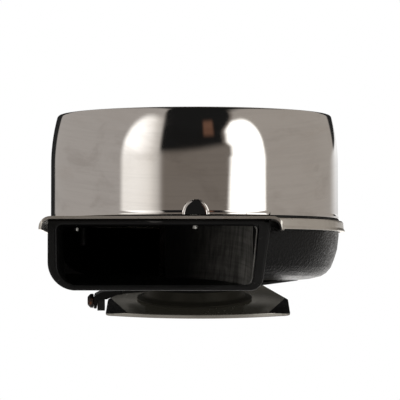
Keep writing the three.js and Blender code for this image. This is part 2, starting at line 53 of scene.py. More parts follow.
COVER_RADIUS, COVER_SHOULDER, COVER_FOOT, COVER_WAIST = 90.0, 86.3, 1.5, 35.6
COVER_HEIGHT, COVER_WALL, SHOULDER_HEIGHT = 68.2, 1.2, 64.4
CORNER_RADIUS, CORNER_HEIGHT, CROWN_RADIUS, CROWN_RISE = 85.6, 66.35, 60.0, 0.7
RECESS_RADIUS, RECESS_FLOOR, RECESS_HOLE = 17.0, 60.0, 3.6
DIMPLE = dict(x=0.9, y=-88.0, width=8.0, reach=5.4, height=9.0)
DIMPLE_STEEPNESS, DIMPLE_LEAN = 9, 0.2
PLATE_RADIUS, PLATE_THICKNESS, SKIRT = 94.0, 1.6, 6.7
TONGUE_LEFT, TONGUE_RIGHT, TONGUE_FRONT, TONGUE_CORNER = -92.0, 53.5, -108.5, 3.0
TONGUE_BOTTOM, LEFT_CURL, RIGHT_CURL, CURL_WALL = -7.9, 7.2, 7.6, 1.7
HEM_FLARE, HEM_HEIGHT = 0.3, 2.4
SLOT_INNER, SLOT_OUTER, SLOTS, SLOT_WEB = 72.0, 84.5, 6, 14.0
BOWL_RADIUS, BOWL_TOP, BOWL_WALL, BOWL_FLOOR = 90.4, -2.1, 3.0, -37.0
MOUTH_LEFT, MOUTH_RIGHT, MOUTH_FRONT, MOUTH_BOTTOM, MOUTH_BACK = -87.0, 46.0, -105.0, -44.0, -4.0
CEILING = -5.2
DUCT_LEFT, DUCT_RIGHT, DUCT_BOTTOM = -81.4, 37.3, -40.7
GUIDE_X, GUIDE_Y, GUIDE_RADIUS, GUIDE_THICKNESS = -18.0, -88.0, 53.0, 2.4
PAD_RADIUS, PAD_HEIGHT, KEEL = 33.0, 15.6, 17.5
OUTLET_BORE, OUTLET_WALL, OUTLET_Y = 20.0, 2.0, -6.5
MOUNT_THICKNESS = 2.5
GAP = 0.3

# The housing's frame, found from the nut's joint on the cover's axis.
NUT_PIVOT = 64.0
nut_joint = next(j for j in frame["joints"] if j["name"] == "nut_turn")
AXIS = Vector(nut_joint["axis"]).normalized()
FLANGE = Vector(nut_joint["pos_m"]) - AXIS * NUT_PIVOT * MM
TILT = math.atan2(AXIS.y, AXIS.z)
HOUSING = Matrix.Translation(FLANGE) @ Matrix.Rotation(-TILT, 4, "X")
STANDING = Matrix.Translation((0, FLANGE.y, 0))  # upright pieces, drawn about the same axis


# ---- mesh helpers ---------------------------------------------------------------------------

def arc(cx, cy, radius, start, end, steps):
    """Points of an arc, the angles in degrees."""
    points = []
    for i in range(steps + 1):
        angle = math.radians(start + (end - start) * i / steps)
        points.append((cx + radius * math.cos(angle), cy + radius * math.sin(angle)))
    return points


def rounded(corners, steps=6):
    """A closed outline whose corners (x, y, radius) are rounded by arcs."""
    points = []
    count = len(corners)
    for i, (x, y, radius) in enumerate(corners):
        corner = Vector((x, y))
        if radius <= 0:
            points.append((x, y))
            continue
        back = (Vector(corners[i - 1][:2]) - corner).normalized()
        on = (Vector(corners[(i + 1) % count][:2]) - corner).normalized()
        half = math.acos(max(-1.0, min(1.0, back.dot(on)))) / 2
        centre = corner + (back + on).normalized() * (radius / math.sin(half))
        first = corner + back * (radius / math.tan(half)) - centre
        last = corner + on * (radius / math.tan(half)) - centre
        turn = math.atan2(first.x * last.y - first.y * last.x, first.dot(last))
        for k in range(steps + 1):
            angle = turn * k / steps
            c, s = math.cos(angle), math.sin(angle)
            points.append((centre.x + first.x * c - first.y * s, centre.y + first.x * s + first.y * c))
    return points


def mesh_object(name, vertices, faces, matrix):
    """A mesh piece from points in millimetres, placed by a matrix."""
    mesh = bpy.data.meshes.new(name)
    mesh.from_pydata([matrix @ (Vector(v) * MM) for v in vertices], [], faces)
    mesh.update()
    piece = bpy.data.objects.new(name, mesh)
    bpy.context.collection.objects.link(piece)
    tidy(piece)
    return piece


def tidy(piece, weld=0.002):
    """Welds doubled points and turns the faces outwards."""
    bm = bmesh.new()
    bm.from_mesh(piece.data)
    bmesh.ops.remove_doubles(bm, verts=bm.verts, dist=weld * MM)
    bmesh.ops.recalc_face_normals(bm, faces=bm.faces)
    bm.to_mesh(piece.data)
    bm.free()


def even_angles(count):
    return [360.0 * i / count for i in range(count)]


def lathe(name, profile, matrix, angles=None, warp=None):
    """Revolves a closed profile of (radius, z) about Z. warp may move each point."""
    angles = angles or even_angles(192)
    vertices = []
    for angle in angles:
        c, s = math.cos(math.radians(angle)), math.sin(math.radians(angle))
        for r, z in profile:
            point = (r * c, r * s, z)
            vertices.append(warp(point, r) if warp else point)
    rows, n = len(angles), len(profile)
    faces = []
    for i in range(rows):
        j = (i + 1) % rows
        for k in range(n):
            m = (k + 1) % n
            faces.append((i * n + k, j * n + k, j * n + m, i * n + m))
    return mesh_object(name, vertices, faces, matrix)


def prism(name, outline, low, high, matrix, along="Z"):
    """Extrudes an outline along Z (drawn in X, Y), Y (drawn in X, Z) or X (drawn in Y, Z)."""
    place = {
        "Z": lambda u, v, w: (u, v, w),
        "Y": lambda u, v, w: (u, w, v),
        "X": lambda u, v, w: (w, u, v),
    }[along]
    n = len(outline)
    vertices = [place(u, v, low) for u, v in outline] + [place(u, v, high) for u, v in outline]
    faces = [tuple(range(n)), tuple(range(n, 2 * n))]
    faces += [(i, (i + 1) % n, n + (i + 1) % n, n + i) for i in range(n)]
    return mesh_object(name, vertices, faces, matrix)


def post(radius, low, high, matrix, x=0.0, y=0.0, sides=48, along="Z"):
    outline = [(x + u, y + v) for u, v in arc(0, 0, radius, 0, 360 - 360 / sides, sides - 1)]
    return prism("post", outline, low, high, matrix, along)


def block(x0, x1, y0, y1, z0, z1, matrix):
    return prism("block", [(x0, y0), (x1, y0), (x1, y1), (x0, y1)], z0, z1, matrix)


def applied(piece):
    """Bakes the piece's modifiers into its mesh."""
    depsgraph = bpy.context.evaluated_depsgraph_get()
    mesh = bpy.data.meshes.new_from_object(piece.evaluated_get(depsgraph))
    piece.modifiers.clear()
    old = piece.data
    piece.data = mesh
    bpy.data.meshes.remove(old)
    return piece


def cut(piece, others, operation="DIFFERENCE"):
    """One boolean of the piece with each of the others, which are used up."""
    for other in others:
        boolean = piece.modifiers.new("boolean", "BOOLEAN")
        boolean.operation = operation
        boolean.solver = "MANIFOLD"
        boolean.object = other
        applied(piece)
        mesh = other.data
        bpy.data.objects.remove(other)
        bpy.data.meshes.remove(mesh)
    return piece


def join(piece, others):
    return cut(piece, others, "UNION")


def common(piece, other):
    return cut(piece, [other], "INTERSECT")


def bevelled(piece, width, segments=3, angle=40):
    bevel = piece.modifiers.new("bevel", "BEVEL")
    bevel.width = width * MM
    bevel.segments = segments
    bevel.limit_method = "ANGLE"
    bevel.angle_limit = math.radians(angle)
    return applied(piece)


def smooth_shaded(mesh, angle=32):
    """Smooth faces with sharp edges where the surface turns by more than the angle."""
    bm = bmesh.new()
    bm.from_mesh(mesh)
    limit = math.radians(angle)
    for face in bm.faces:
        face.smooth = True
    for edge in bm.edges:
        edge.smooth = len(edge.link_faces) == 2 and edge.calc_face_angle(0) < limit
    bm.to_mesh(mesh)
    bm.free()


def even_normals(piece):
    """Shades broad faces flat where they meet narrow ones."""
    modifier = piece.modifiers.new("normals", "WEIGHTED_NORMAL")
    modifier.keep_sharp = True


def dress(piece, name, body, slot, material, *nodes, angle=32):
    """Names a new piece, shades it and puts it in the place of its CAD nodes."""
    piece.name = name
    piece.data.name = name
    smooth_shaded(piece.data, angle)
    piece.data.materials.clear()
    piece.data.materials.append(material)
    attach(piece, body)
    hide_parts(*nodes)
    return piece


# ---- materials ------------------------------------------------------------------------------

class Nodes:
    """A small helper that builds one node tree, or adds to it."""

    def __init__(self, tree):
        self.tree = tree

    def add(self, kind, **settings):
        node = self.tree.nodes.new(kind)
        for key, value in settings.items():
            setattr(node, key, value)
        return node

    def link(self, source, target):
        self.tree.links.new(source, target)

    def math(self, operation, *values):
        """One math node. Each value is a number or a socket."""
        node = self.add("ShaderNodeMath", operation=operation)
        for socket, value in zip(node.inputs, values):
            if isinstance(value, (int, float)):
                socket.default_value = value
            else:
                self.link(value, socket)
        return node.outputs[0]

    def times(self, product, *factors):
        for factor in factors:
            product = self.math("MULTIPLY", product, factor)
        return product

    def split(self, vector):
        """The three parts of a vector."""
        node = self.add("ShaderNodeSeparateXYZ")
        self.link(vector, node.inputs[0])
        return node.outputs

    def ramp(self, value, low, high, out_low=0.0, out_high=1.0):
        """Smooth step of a value from one range to another."""
        node = self.add("ShaderNodeMapRange", interpolation_type="SMOOTHSTEP")
        self.link(value, node.inputs["Value"])
        node.inputs["From Min"].default_value = low
        node.inputs["From Max"].default_value = high
        node.inputs["To Min"].default_value = out_low
        node.inputs["To Max"].default_value = out_high
        return node.outputs["Result"]

    def within(self, value, low, low_soft, high, high_soft):
        """1 between two values and 0 outside them, each side softened by its own width."""
        rise = self.ramp(value, low - low_soft, low + low_soft)
        fall = self.ramp(value, high - high_soft, high + high_soft, 1.0, 0.0)
        return self.times(rise, fall)

    def mix(self, factor, a, b):
        """Mixes two colours, each a tuple or a socket."""
        node = self.add("ShaderNodeMix", data_type="RGBA")
        self.link(factor, node.inputs["Factor"])
        for socket, value in ((node.inputs[6], a), (node.inputs[7], b)):
            if isinstance(value, tuple):
                socket.default_value = (*value, 1.0)
            else:
                self.link(value, socket)
        return node.outputs[2]

    def noise(self, vector, scale, detail=4.0, rough=0.55, distortion=0.0):
        node = self.add("ShaderNodeTexNoise")
        self.link(vector, node.inputs["Vector"])
        node.inputs["Scale"].default_value = scale
        node.inputs["Detail"].default_value = detail
        node.inputs["Roughness"].default_value = rough
        node.inputs["Distortion"].default_value = distortion
        return node.outputs["Fac"]

    def cells(self, vector, scale):
        node = self.add("ShaderNodeTexVoronoi", feature="F1")
        self.link(vector, node.inputs["Vector"])
        node.inputs["Scale"].default_value = scale
        return node.outputs["Distance"]

    def place(self, scale=(1, 1, 1), turn=(0, 0, 0)):
        """Object coordinates, turned and stretched."""
        coordinates = self.add("ShaderNodeTexCoord")
        mapping = self.add("ShaderNodeMapping", vector_type="POINT")
        mapping.inputs["Scale"].default_value = scale
        mapping.inputs["Rotation"].default_value = turn
        self.link(coordinates.outputs["Object"], mapping.inputs["Vector"])
        return mapping.outputs["Vector"]

    def bump(self, height, distance, normal=None):
        """A bump of so many millimetres, on top of another one if it is given."""
        node = self.add("ShaderNodeBump")
        node.inputs["Strength"].default_value = 1.0
        node.inputs["Distance"].default_value = distance * MM
        self.link(height, node.inputs["Height"])
        if normal:
            self.link(normal, node.inputs["Normal"])
        return node.outputs["Normal"]


def new_material(name):
    material = bpy.data.materials.new(name)
    material.use_nodes = True
    material.node_tree.nodes.clear()
    nodes = Nodes(material.node_tree)
    shader = nodes.add("ShaderNodeBsdfPrincipled")
    output = nodes.add("ShaderNodeOutputMaterial")
    nodes.link(shader.outputs[0], output.inputs["Surface"])
    return material, nodes, shader


LEAN = (TILT, 0, 0)  # turns object coordinates upright on the housing's axis
BLACK, WORN_BLACK = (0.004, 0.004, 0.004), (0.012, 0.012, 0.012)
# The olive of a painted glow, given to the steel that lies in the shade under the housing.
PAINTED_OLIVE_GLOW = (0.0098, 0.0092, 0.0068)
DULL_SHINE = 0.22  # what unpolished moulding has as its specular level


def polished_metal(name, clean, stained, roughness, smudge, line_depth, wave_depth, metallic=1.0):
    """Polished metal with smudges, faint turning lines and a slight waviness."""
    material, nodes, shader = new_material(name)
    upright = nodes.place(turn=LEAN)
    lines = nodes.noise(nodes.place((6, 6, 900), LEAN), 1.0, 2.0)
    smears = nodes.noise(nodes.place((9, 9, 30), LEAN), 1.6, 5.0, 0.6, 0.6)
    specks = nodes.noise(upright, 420, 2.0)
    haze = nodes.ramp(smears, 0.45, 0.75)
    shader.inputs["Metallic"].default_value = metallic
    brushed = nodes.ramp(nodes.noise(nodes.place((14, 14, 420), LEAN), 1.0, 4.0, 0.65), 0.42, 0.72)
    dulled = nodes.ramp(nodes.noise(nodes.place((26, 26, 40), LEAN), 1.0, 4.0, 0.6, 0.5), 0.52, 0.72)
    worn, dull = tuple(0.93 * c for c in clean), tuple(0.86 * c for c in stained)
    tone = nodes.mix(haze, clean, stained)
    tone = nodes.mix(nodes.times(brushed, 0.8), tone, worn)
    tone = nodes.mix(nodes.times(dulled, 0.7), tone, dull)
    nodes.link(tone, shader.inputs["Base Color"])
    rough = nodes.math("MULTIPLY_ADD", haze, smudge, roughness)
    speck_rough = nodes.ramp(specks, 0.62, 0.8, 0.0, smudge)
    nodes.link(nodes.math("ADD", rough, speck_rough), shader.inputs["Roughness"])
    waves = nodes.bump(nodes.noise(upright, 28, 1.0), wave_depth)
    nodes.link(nodes.bump(lines, line_depth, waves), shader.inputs["Normal"])
    return material


def satin_metal(name, clean, stained, roughness, grain=320, depth=0.02):
    """Plated sheet metal with fine grain, stains and dulled patches."""
    material, nodes, shader = new_material(name)
    here = nodes.place()
    fine = nodes.noise(here, grain, 4.0)
    patches = nodes.noise(here, 38, 5.0, 0.62, 0.4)
    stain = nodes.ramp(patches, 0.48, 0.72)
    shader.inputs["Metallic"].default_value = 1.0
    nodes.link(nodes.mix(stain, clean, stained), shader.inputs["Base Color"])
    rough = nodes.ramp(patches, 0.3, 0.75, roughness - 0.06, roughness + 0.12)
    nodes.link(rough, shader.inputs["Roughness"])
    nodes.link(nodes.bump(fine, depth), shader.inputs["Normal"])
    return material


def grained_plastic(name, base, worn, roughness, pitch, depth, scratches=0.0, polished=0.0):
    """Black moulding. pitch is the grain's spacing and depth its height, in millimetres.

    scratches is how strongly pale scratches show. The last argument is how much more the faces that face right and
    down shine: a painted sheen for the light they catch from behind and below.
    """
    material, nodes, shader = new_material(name)
    here = nodes.place()
    grain = nodes.cells(here, 1 / (pitch * MM))
    wrinkle = nodes.noise(here, 0.45 / (pitch * MM), 5.0, 0.65, 0.8)
    dust = nodes.noise(here, 55, 6.0, 0.7, 0.5)
    colour = nodes.mix(nodes.ramp(dust, 0.5, 0.78), base, worn)
    if scratches:
        streaks = nodes.noise(nodes.place((40, 900, 260), (0.3, 0.5, 0.2)), 1.0, 2.0)
        mark = nodes.ramp(streaks, 0.70, 0.76, 0.0, scratches)
        colour = nodes.mix(mark, colour, (0.16, 0.155, 0.15))
    nodes.link(colour, shader.inputs["Base Color"])
    rough = nodes.ramp(dust, 0.3, 0.8, roughness - 0.08, roughness + 0.14)
    nodes.link(rough, shader.inputs["Roughness"])
    nodes.link(nodes.bump(nodes.math("ADD", grain, wrinkle), depth), shader.inputs["Normal"])
    shine = shader.inputs["Specular IOR Level"]
    shine.default_value = DULL_SHINE
    # Painted sheen: a higher specular level on the faces that face right or down.
    if polished:
        rightward, _, upward = nodes.split(nodes.add("ShaderNodeTexCoord").outputs["Normal"])
        right, under = nodes.ramp(rightward, 0.82, 0.98), nodes.ramp(upward, -0.84, -0.93)
        nodes.link(nodes.ramp(nodes.math("MAXIMUM", right, under), 0, 1, DULL_SHINE, polished), shine)
    return material


def dust_and_painted_light_wall(name, clean, painted_light_and_dust, start, end):
    """Smooth black moulding, painted lighter from one x to another as painted light falling on it, broken into
    streaks and blotches of dust.
    """
    material, nodes, shader = new_material(name)
    here = nodes.place()
    # Painted light: a ramp that makes the wall lighter towards +x.
    painted_light_ramp = nodes.math("POWER", nodes.ramp(nodes.split(here)[0], start * MM, end * MM), 2.0)
    blotches = nodes.noise(here, 60, 5.0, 0.65, 0.4)
    upright = nodes.noise(nodes.place((420, 420, 22)), 1.0, 3.0, 0.6)
    level = nodes.noise(nodes.place((14, 14, 520)), 1.0, 3.0, 0.6)
    # The amount of painted light, broken into streaks and blotches of dust.
    dust = nodes.times(
        painted_light_ramp,
        nodes.ramp(upright, 0.3, 0.7, 0.55, 1.25),
        nodes.ramp(level, 0.3, 0.7, 0.8, 1.15),
        nodes.ramp(blotches, 0.3, 0.7, 0.7, 1.2),
    )
    lines = nodes.noise(nodes.place((300, 300, 700), (0.5, 0.7, 0.1)), 1.0, 2.0)
    # The pale scratches show only where the wall is painted lit.
    scratches = nodes.times(nodes.ramp(lines, 0.71, 0.76), painted_light_ramp)
    colour = nodes.mix(scratches, nodes.mix(dust, clean, painted_light_and_dust), (0.2, 0.2, 0.195))
    nodes.link(colour, shader.inputs["Base Color"])
    nodes.link(nodes.ramp(blotches, 0.3, 0.8, 0.62, 0.8), shader.inputs["Roughness"])
    nodes.link(nodes.bump(upright, 0.04), shader.inputs["Normal"])
    shader.inputs["Specular IOR Level"].default_value = 0.1
    return material


def rubber(name, base, bloom):
    """Matt rubber with a pale bloom and a fine grain."""
    material, nodes, shader = new_material(name)
    here = nodes.place()
    patches = nodes.noise(here, 90, 5.0, 0.6)
    nodes.link(nodes.mix(nodes.ramp(patches, 0.45, 0.8), base, bloom), shader.inputs["Base Color"])
    nodes.link(nodes.ramp(patches, 0.3, 0.8, 0.62, 0.88), shader.inputs["Roughness"])
    nodes.link(nodes.bump(nodes.noise(here, 1400, 2.0), 0.05), shader.inputs["Normal"])
    return material


def rusted(name, steel, rust, dark, amount):
    """Steel gone to rust in patches, rougher and raised where it has."""
    material, nodes, shader = new_material(name)
    here = nodes.place()
    patches = nodes.noise(here, 260, 6.0, 0.7, 0.6)
    shade = nodes.noise(here, 900, 4.0, 0.7)
    mask = nodes.ramp(patches, 0.62 - amount, 0.74 - amount)
    scale = nodes.mix(nodes.ramp(shade, 0.35, 0.7), dark, rust)
    nodes.link(nodes.mix(mask, steel, scale), shader.inputs["Base Color"])
    nodes.link(nodes.ramp(mask, 0.0, 1.0, 0.85, 0.05), shader.inputs["Metallic"])
    nodes.link(nodes.ramp(mask, 0.0, 1.0, 0.35, 0.92), shader.inputs["Roughness"])
    nodes.link(nodes.bump(nodes.math("ADD", patches, shade), 0.25), shader.inputs["Normal"])
    return material


def paper():
    """Resin-treated filter paper with fibres and dust caught in it."""
    material, nodes, shader = new_material("filter_paper")
    here = nodes.place()
    fibres = nodes.noise(nodes.place((700, 700, 90)), 1.0, 5.0, 0.7)
    dirt = nodes.noise(here, 40, 5.0, 0.65)
    pale = nodes.mix(fibres, (0.62, 0.50, 0.27), (0.78, 0.68, 0.44))
    nodes.link(nodes.mix(nodes.ramp(dirt, 0.5, 0.8), pale, (0.36, 0.30, 0.20)), shader.inputs["Base Color"])
    nodes.link(nodes.ramp(dirt, 0.2, 0.8, 0.85, 0.97), shader.inputs["Roughness"])
    nodes.link(nodes.bump(fibres, 0.1), shader.inputs["Normal"])
    return material


def principled(material):
    """The material's Principled shader."""
    return next(node for node in material.node_tree.nodes if node.type == "BSDF_PRINCIPLED")


def painted_glow(material, strength):
    """Adds a faint olive glow: painted light standing in for the dim reflections the steel shows in the shade
    under the housing.
    """
    shader = principled(material)
    shader.inputs["Emission Color"].default_value = (*PAINTED_OLIVE_GLOW, 1.0)
    shader.inputs["Emission Strength"].default_value = strength


def edge_tint(material, grey):
    """Dims what a metal reflects when it is seen nearly edge on."""
    principled(material).inputs["Specular Tint"].default_value = (grey, grey, 0.97 * grey, 1.0)


chrome = polished_metal(
    "chrome", (0.80, 0.775, 0.75), (0.74, 0.705, 0.67),
    roughness=0.055, smudge=0.05, line_depth=0.0015, wave_depth=0.02,
)
mirror_plate = polished_metal(
    "polished_plate", (0.46, 0.44, 0.40), (0.30, 0.29, 0.26),
    roughness=0.16, smudge=0.12, line_depth=0.002, wave_depth=0.03, metallic=0.8,
)
# A dark copy of the mirror plate's metal: painted shade for the pressed-down corners.
shaded_plate = polished_metal(
    "shaded_plate", (0.028, 0.027, 0.025), (0.018, 0.017, 0.016),
    roughness=0.2, smudge=0.12, line_depth=0.002, wave_depth=0.03, metallic=0.8,
)
satin = satin_metal("satin_steel", (0.74, 0.71, 0.66), (0.56, 0.53, 0.48), 0.30)
dark_steel = satin_metal("dark_steel", (0.035, 0.033, 0.028), (0.022, 0.021, 0.018), 0.55)
zinc = satin_metal("zinc", (0.62, 0.62, 0.59), (0.40, 0.39, 0.35), 0.36, 260, 0.04)
# Painted light: the dark steel and the mirror plate glow faintly, standing in for dim reflections in the shade
# under the housing.
painted_glow(dark_steel, 0.45)
painted_glow(mirror_plate, 0.8)
# The dark copy's edge-on reflection is dimmed too, as part of the same painted shade.
edge_tint(shaded_plate, 0.16)
moulding = grained_plastic(
    "black_plastic", BLACK, WORN_BLACK, roughness=0.40, pitch=1.5, depth=0.45, polished=1.0,
)
smooth_moulding = grained_plastic(
    "smooth_plastic", BLACK, WORN_BLACK, roughness=0.46, pitch=0.5, depth=0.02, scratches=0.5,
)
# The duct's walls: dark moulding with painted light and dust on them.
dust_and_painted_light_moulding = dust_and_painted_light_wall("dust_and_painted_light_plastic", (0.002, 0.002, 0.002), (0.30, 0.295, 0.28), -22.0, 44.0)
black_rubber = rubber("black_rubber", (0.006, 0.006, 0.006), (0.02, 0.02, 0.019))
black_steel = rusted(
    "black_steel", steel=(0.010, 0.0095, 0.009),
    rust=(0.16, 0.06, 0.025), dark=(0.03, 0.018, 0.012), amount=-0.02,
)
old_bolt = rusted(
    "old_bolt", steel=(0.035, 0.03, 0.026),
    rust=(0.26, 0.085, 0.035), dark=(0.05, 0.028, 0.018), amount=0.08,
)
filter_paper = paper()


# ---- cover ------------------------------------------------------------------------------------

def side_radius(t):
    """The cover's radius from its waist (t = 0) to its shoulder (t = 1)."""
    return COVER_RADIUS - (COVER_RADIUS - COVER_SHOULDER) * t * t


def cover_profile():
    """The pressed shell's section: hem, upright wall, drawn-in shoulder, low crown and recess."""
    side = []
    for i in range(17):
        t = i / 16
        side.append((side_radius(t), COVER_WAIST + (SHOULDER_HEIGHT - COVER_WAIST) * t))
    # Close rows up the wall, so that it can be pressed out over the dimple.
    wall = [COVER_FOOT + HEM_HEIGHT + 0.35 * i for i in range(22)]
    corners = [
        (COVER_RADIUS - COVER_WALL, COVER_FOOT, 0.3),
        (COVER_RADIUS + HEM_FLARE, COVER_FOOT, 0.35),
        (COVER_RADIUS + HEM_FLARE, COVER_FOOT + HEM_HEIGHT / 2, 0.5),
        *[(COVER_RADIUS, z, 0) for z in wall],
        *[(r, z, 0) for r, z in side],
        (CORNER_RADIUS, CORNER_HEIGHT, 2.3),
        (CROWN_RADIUS, COVER_HEIGHT - CROWN_RISE, 60),
        (RECESS_RADIUS + 1.2, COVER_HEIGHT, 2.0),
        (RECESS_RADIUS - 1.2, RECESS_FLOOR, 1.6),
        (RECESS_HOLE, RECESS_FLOOR, 0.3),
        (RECESS_HOLE, RECESS_FLOOR - COVER_WALL, 0.3),
        (RECESS_RADIUS - 0.1, RECESS_FLOOR - COVER_WALL, 2.4),
        (RECESS_RADIUS + 2.4, COVER_HEIGHT - COVER_WALL, 1.4),
        (CROWN_RADIUS, COVER_HEIGHT - CROWN_RISE - COVER_WALL, 60),
        (CORNER_RADIUS - 1.3, CORNER_HEIGHT - 0.1 - COVER_WALL, 1.4),
        *[(r - COVER_WALL, z - 0.6, 0) for r, z in reversed(side[::4])],
        *[(COVER_RADIUS - COVER_WALL, z, 0) for z in reversed(wall)],
    ]
    return rounded(corners)


def pressed_out(point, radius):
    """Moves the wall out over the dimple, which has steep sides and a nearly flat front."""
    x, y, z = point
    thin = 0.0 if radius > COVER_RADIUS - COVER_WALL / 2 else COVER_WALL
    u = (x - DIMPLE["x"]) / (DIMPLE["width"] - thin)
    w = (z - COVER_FOOT) / (DIMPLE["height"] - thin)
    inside = 1 - (u * u + w * w) ** DIMPLE_STEEPNESS
    if y > 0 or inside <= 0 or radius < CROWN_RADIUS:
        return point
    crest = DIMPLE["y"] - (DIMPLE["reach"] - thin) * math.sqrt(inside) * (1 - DIMPLE_LEAN * w)
    return (x, min(y, crest), z)


def cover_angles():
    """Columns of the shell, close together across the dimple."""
    front = 270
    near = [front + 0.25 * i for i in range(-26, 27)]
    return sorted([a for a in even_angles(240) if abs(a - front) > 7] + near)


shell = lathe("cover", cover_profile(), HOUSING, cover_angles(), pressed_out)
dress(shell, "cover", "cover", "chrome", chrome, "cover", angle=28)


def flat_ring(inner, outer, low, high, edge=0.3):
    return rounded([(inner, low, edge), (outer, low, edge), (outer, high, edge), (inner, high, edge)], 3)


gasket = lathe("cover_gasket", flat_ring(87.4, 90.6, GAP, COVER_FOOT - GAP), HOUSING)
lug = post(7, GAP, COVER_FOOT - GAP, HOUSING, DIMPLE["x"], DIMPLE["y"] + 0.6)
screw_hole = post(3.6, -1, 4, HOUSING, DIMPLE["x"], DIMPLE["y"])
cut(join(gasket, [lug]), [screw_hole])
dress(gasket, "cover_gasket", "housing", "black_rubber", black_rubber, "cover_gasket")


# ---- base plate ---------------------------------------------------------------------------------

def tongue_section(inset, top):
    """The ledge's section across the mouth, with curled sides, or what is hollowed out of it."""
    left, right = TONGUE_LEFT + inset, TONGUE_RIGHT - inset
    return rounded([
        (left, TONGUE_BOTTOM - inset, 0),
        (right, TONGUE_BOTTOM - inset, 0),
        (right, top, RIGHT_CURL - inset),
        (left, top, LEFT_CURL - inset),
    ], 12)


def tongue():
    """The ledge over the mouth, before it is hollowed."""
    plan = rounded([
        (TONGUE_LEFT - 0.02, TONGUE_FRONT, TONGUE_CORNER),
        (TONGUE_RIGHT + 0.02, TONGUE_FRONT, TONGUE_CORNER),
        (TONGUE_RIGHT + 0.02, -20, 0),
        (TONGUE_LEFT - 0.02, -8, 0),
    ], 8)
    bar = prism("tongue", tongue_section(0, 0), TONGUE_FRONT - 5, 0, HOUSING, "Y")
    return common(bar, prism("plan", plan, TONGUE_BOTTOM - 1, 1, HOUSING))


def air_slot(centre):
    """One of the openings that let the air up through the base plate."""
    half = 180 / SLOTS - SLOT_WEB / 2
    ring = arc(0, 0, SLOT_OUTER, centre - half, centre + half, 24)
    ring += arc(0, 0, SLOT_INNER, centre + half, centre - half, 24)
    return prism("slot", ring, -5, 5, HOUSING)


def base_plate():
    """Disc and ledge in one, hollowed from below, with the outlet's bore and the air slots."""
    disc = lathe("base_plate", rounded([
        (0, -SKIRT, 0),
        (PLATE_RADIUS + 0.3, -SKIRT, 0.2),
        (PLATE_RADIUS + 0.3, -SKIRT + 0.7, 0.4),
        (PLATE_RADIUS - 0.45, -SKIRT + 1.9, 1.5),
        (PLATE_RADIUS - 0.85, 0, 1.5),
        (0, 0, 0),
    ], 5), HOUSING, even_angles(240))
    join(disc, [tongue()])
    hollow = post(PLATE_RADIUS - 2.4, -SKIRT - 3, -PLATE_THICKNESS, HOUSING, sides=240)
    under = prism("under", tongue_section(CURL_WALL, -PLATE_THICKNESS), TONGUE_FRONT - 5, 0, HOUSING, "Y")
    bore = post(OUTLET_BORE + OUTLET_WALL + GAP, -5, 5, HOUSING, sides=64)
    cut(disc, [hollow, under, bore] + [air_slot(360 / SLOTS * i) for i in range(SLOTS)])
    return disc


dress(base_plate(), "base_plate", "housing", "satin_steel", satin, "base_plate", angle=24)


# ---- lower housing --------------------------------------------------------------------------------

def bowl(inset):
    """The round bowl, or its inside when it is drawn inset by the wall."""
    lid = BOWL_TOP + 1 if inset else BOWL_TOP
    outline = [
        (66, 0), (73, 0.9), (79, 2.6), (82.5, 4.8), (85.4, 8.2), (87.6, 13.6), (89.4, 19.5), (90.4, 28),
    ]
    profile = [(0, BOWL_FLOOR + inset)] + [(r - inset, BOWL_FLOOR + rise + inset) for r, rise in outline]
    return lathe("bowl", profile + [(BOWL_RADIUS - inset, lid), (0, lid)], HOUSING, even_angles(180))


def snorkel():
    """The space common to the snorkel's front outline and its side outline."""
    face = rounded([
        (MOUTH_LEFT, BOWL_TOP, 0),
        (MOUTH_LEFT, MOUTH_BOTTOM, 17),
        (MOUTH_RIGHT - 6, MOUTH_BOTTOM, 8),
        (MOUTH_RIGHT, BOWL_TOP, 0),
    ], 14)
    side = rounded([
        (MOUTH_FRONT, BOWL_TOP, 0),
        (MOUTH_FRONT, MOUTH_BOTTOM, 0),
        (MOUTH_FRONT + 40, MOUTH_BOTTOM + 0.5, 30),
        (MOUTH_BACK - 14, BOWL_FLOOR + 1, 0),
        (MOUTH_BACK, BOWL_FLOOR + 8, 0),
        (MOUTH_BACK, BOWL_TOP, 0),
    ])
    bow = 420.0
    middle = (MOUTH_LEFT + MOUTH_RIGHT) / 2
    body = prism("snorkel", face, MOUTH_FRONT - 5, MOUTH_BACK, HOUSING, "Y")
    common(body, prism("side", side, MOUTH_LEFT - 5, MOUTH_RIGHT + 5, HOUSING, "X"))
    return common(body, post(bow, -60, 10, HOUSING, middle, MOUTH_FRONT + bow, 720))


def duct():
    """The air's way in from the mouth to the bowl, as a solid to cut away."""
    back = MOUTH_BACK - 14
    face = rounded([
        (DUCT_LEFT, CEILING, 3),
        (DUCT_LEFT + 0.6, DUCT_BOTTOM, 12),
        (DUCT_RIGHT - 3.5, DUCT_BOTTOM, 5),
        (DUCT_RIGHT, CEILING, 3),
    ], 10)
    side = rounded([
        (MOUTH_FRONT - 3, CEILING, 0),
        (MOUTH_FRONT - 3, DUCT_BOTTOM, 0),
        (MOUTH_FRONT + 40, DUCT_BOTTOM + 0.3, 20),
        (back, BOWL_FLOOR + 4, 0),
        (back, CEILING, 0),
    ])
    body = prism("duct", face, MOUTH_FRONT - 3, back, HOUSING, "Y")
    return common(body, prism("side", side, DUCT_LEFT - 5, DUCT_RIGHT + 5, HOUSING, "X"))


RIM_SCREWS, RIM_SCREW_RADIUS, FRONT_SCREW, LEFT_SCREW = 6, 83.5, 4, 3
SCREW_BOSS_RADIUS, SCREW_BOSS_DEPTH, BOLT_BOSS_RADIUS, BOLT_BOSS_TOP = 4.6, -14.0, 4.2, 23.0
BOLT_CIRCLE = 27.7


